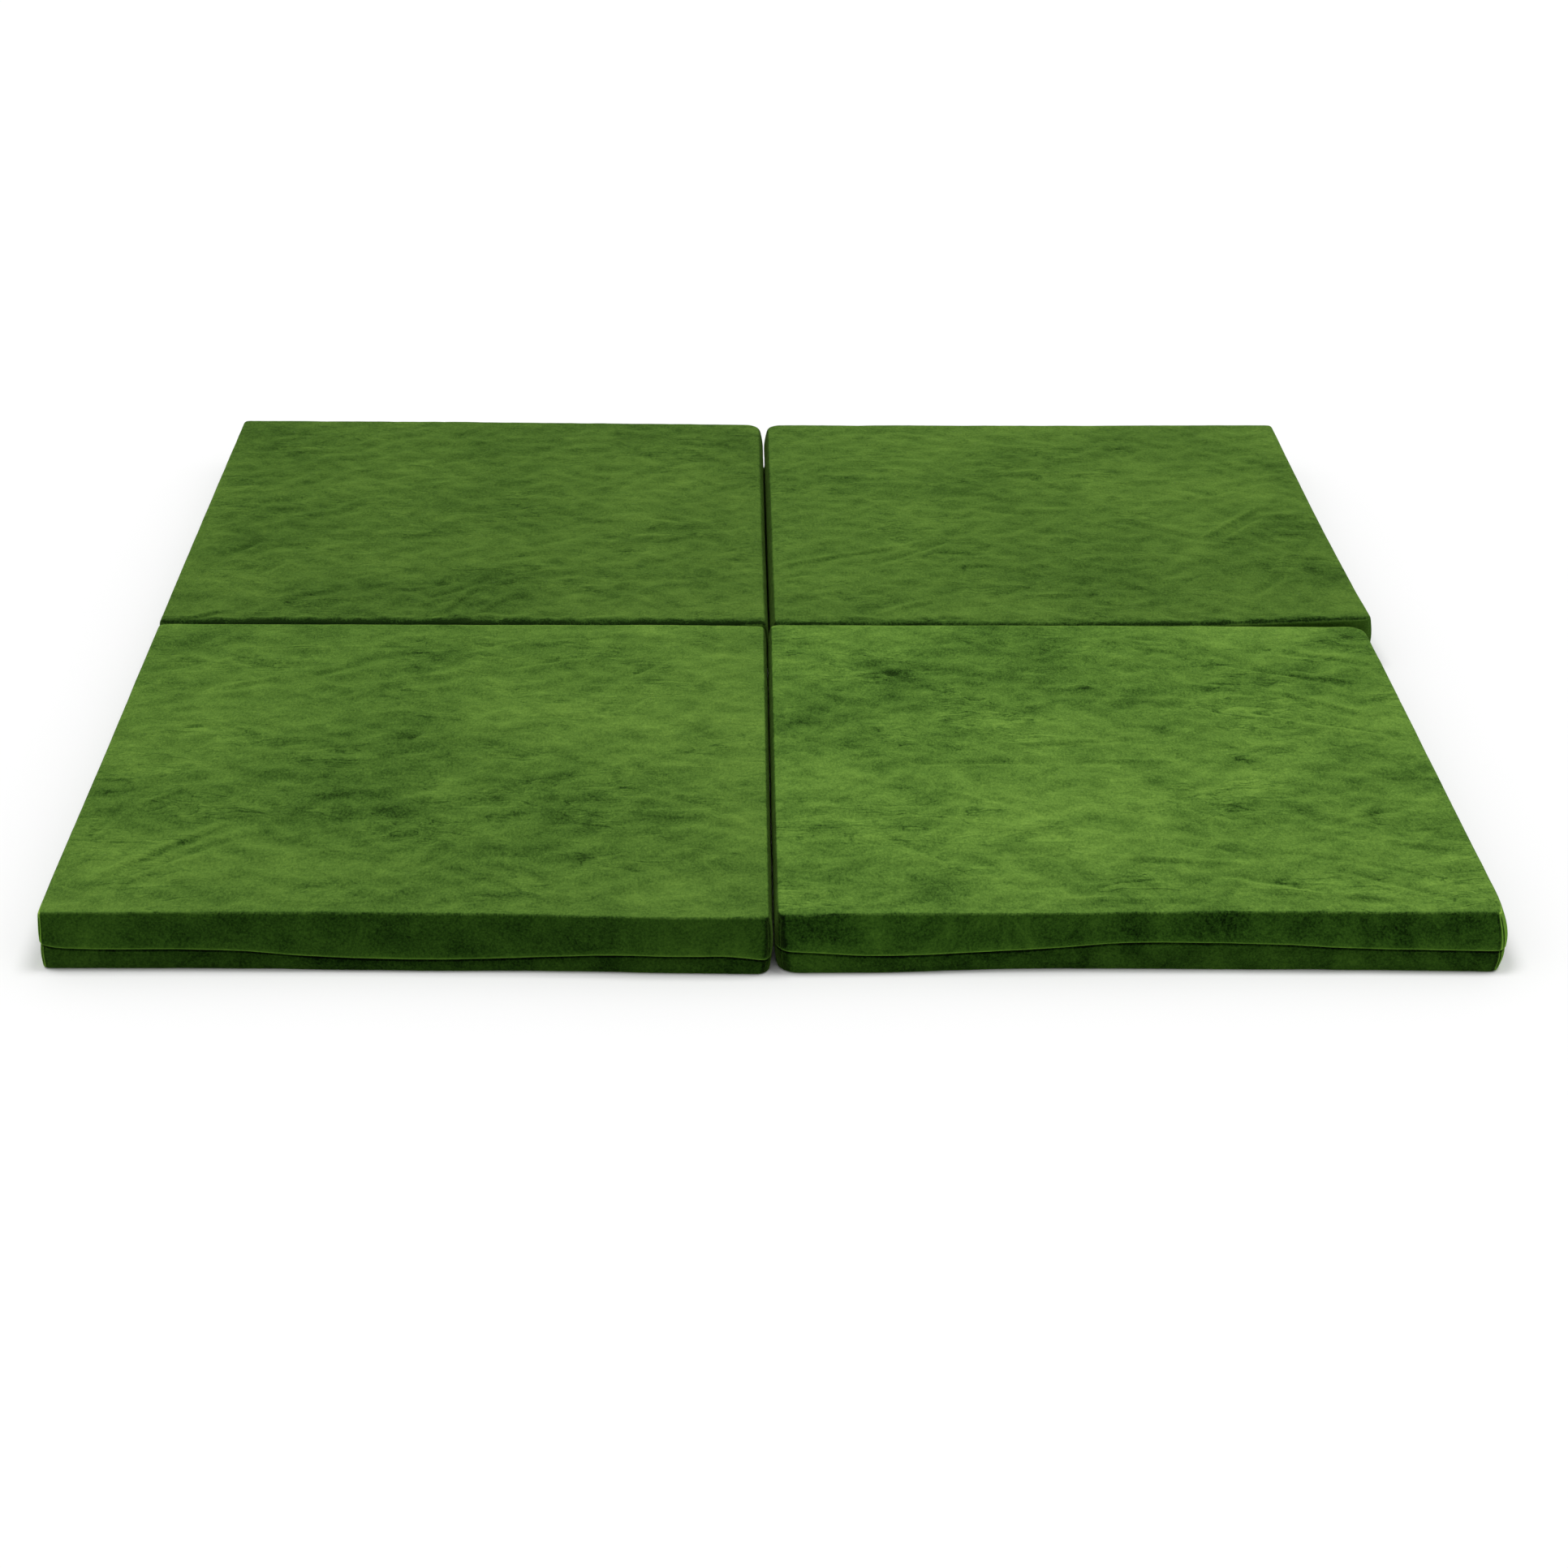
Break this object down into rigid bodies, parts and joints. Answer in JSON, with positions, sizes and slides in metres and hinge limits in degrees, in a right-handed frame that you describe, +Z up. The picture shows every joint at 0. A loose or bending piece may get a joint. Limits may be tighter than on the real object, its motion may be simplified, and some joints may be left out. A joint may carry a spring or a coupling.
{
  "type": "crash landing mat",
  "caption": "Folding crash landing mat: square foam panels in velvet covers with hidden zips, joined by cloth fold webs so that the mat packs into a square stack.",
  "frame": {"origin": "centre of the underside, on the surface that the open mat lies on, where the two fold lines cross", "axes": "+Z up out of the top of the mat, +X to the right and +Y towards the far panels, as seen from the near side"},
  "size_m": [1.488, 1.496, 0.064],
  "materials": {
    "velvet": "matte",
    "velvet_underside": "matte",
    "foam": "matte",
    "zip_tape": "matte",
    "zip_coil": "satin",
    "zip_metal": "satin"
  },
  "bodies": {
    "near_left": {"near_left_foam_core": "foam", "near_left_top_cover": "velvet", "near_left_bottom_cover": "velvet_underside", "near_left_zip_flap": "velvet", "near_left_zip_upper_tape": "zip_tape", "near_left_zip_lower_tape": "zip_tape", "near_left_zip_upper_teeth": "zip_coil", "near_left_zip_lower_teeth": "zip_coil", "near_left_zip_stops": "zip_metal"},
    "near_right": {"near_right_foam_core": "foam", "near_right_top_cover": "velvet", "near_right_bottom_cover": "velvet_underside", "near_right_zip_flap": "velvet", "near_right_zip_upper_tape": "zip_tape", "near_right_zip_lower_tape": "zip_tape", "near_right_zip_upper_teeth": "zip_coil", "near_right_zip_lower_teeth": "zip_coil", "near_right_zip_stops": "zip_metal"},
    "far_left": {"far_left_foam_core": "foam", "far_left_top_cover": "velvet", "far_left_bottom_cover": "velvet_underside", "far_left_zip_flap": "velvet", "far_left_zip_upper_tape": "zip_tape", "far_left_zip_lower_tape": "zip_tape", "far_left_zip_upper_teeth": "zip_coil", "far_left_zip_lower_teeth": "zip_coil", "far_left_zip_stops": "zip_metal", "left_fold_web": "velvet"},
    "far_right": {"far_right_foam_core": "foam", "far_right_top_cover": "velvet", "far_right_bottom_cover": "velvet_underside", "far_right_zip_flap": "velvet", "far_right_zip_upper_tape": "zip_tape", "far_right_zip_lower_tape": "zip_tape", "far_right_zip_upper_teeth": "zip_coil", "far_right_zip_lower_teeth": "zip_coil", "far_right_zip_stops": "zip_metal", "right_fold_web": "velvet", "centre_web": "velvet_underside"},
    "near_left_zip_slider": {"near_left_zip_slider": "zip_metal"},
    "near_right_zip_slider": {"near_right_zip_slider": "zip_metal"},
    "far_left_zip_slider": {"far_left_zip_slider": "zip_metal"},
    "far_right_zip_slider": {"far_right_zip_slider": "zip_metal"}
  },
  "joints": [
    {"name": "centre_fold", "type": "hinge", "parent": "far_right", "child": "far_left", "pos_m": [0, 0.376, -0.001], "axis": [0, -1, 0], "range_deg": [0, 179], "deforming": ["centre_web"]},
    {"name": "right_fold", "type": "hinge", "parent": "far_right", "child": "near_right", "pos_m": [0.374, 0, 0.0665], "axis": [-1, 0, 0], "range_deg": [0, 179], "deforming": ["right_fold_web"]},
    {"name": "left_fold", "type": "hinge", "parent": "far_left", "child": "near_left", "pos_m": [-0.374, 0, 0.0665], "axis": [-1, 0, 0], "range_deg": [0, 179], "deforming": ["left_fold_web"]},
    {"name": "near_left_zip_slide", "type": "slide", "parent": "near_left", "child": "near_left_zip_slider", "axis": [1, 0, 0], "range_m": [0, 0.66], "deforming": ["near_left_zip_upper_teeth", "near_left_zip_lower_teeth"]},
    {"name": "near_right_zip_slide", "type": "slide", "parent": "near_right", "child": "near_right_zip_slider", "axis": [-1, 0, 0], "range_m": [0, 0.66], "deforming": ["near_right_zip_upper_teeth", "near_right_zip_lower_teeth"]},
    {"name": "far_left_zip_slide", "type": "slide", "parent": "far_left", "child": "far_left_zip_slider", "axis": [1, 0, 0], "range_m": [0, 0.66], "deforming": ["far_left_zip_upper_teeth", "far_left_zip_lower_teeth"]},
    {"name": "far_right_zip_slide", "type": "slide", "parent": "far_right", "child": "far_right_zip_slider", "axis": [-1, 0, 0], "range_m": [0, 0.66], "deforming": ["far_right_zip_upper_teeth", "far_right_zip_lower_teeth"]}
  ]
}
